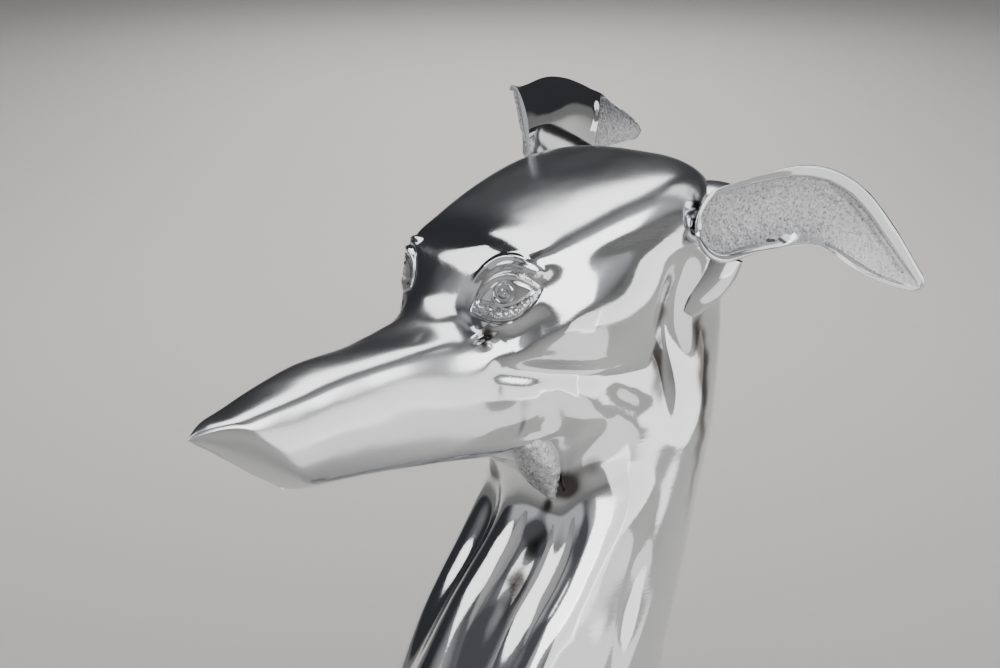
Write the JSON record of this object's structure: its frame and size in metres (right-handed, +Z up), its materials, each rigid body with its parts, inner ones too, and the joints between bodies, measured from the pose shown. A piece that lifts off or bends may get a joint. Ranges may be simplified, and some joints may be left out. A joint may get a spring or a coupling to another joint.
{
  "type": "greyhound head bust",
  "caption": "Polished cast head and neck of a greyhound, with a long muzzle, almond eyes and folded-back leaf-shaped ears, cut flat below the neck to stand on.",
  "frame": {"origin": "middle of the flat underside of the neck, which the bust stands on", "axes": "+Z up from the underside, +X the way the muzzle points, +Y towards the dog's left side"},
  "size_m": [0.2578, 0.1309, 0.2216],
  "materials": {
    "polished_aluminium": "mirror polished, with rough as-cast ear hollows and tuft"
  },
  "bodies": {
    "root": {"greyhound_bust": "polished_aluminium"}
  },
  "joints": []
}
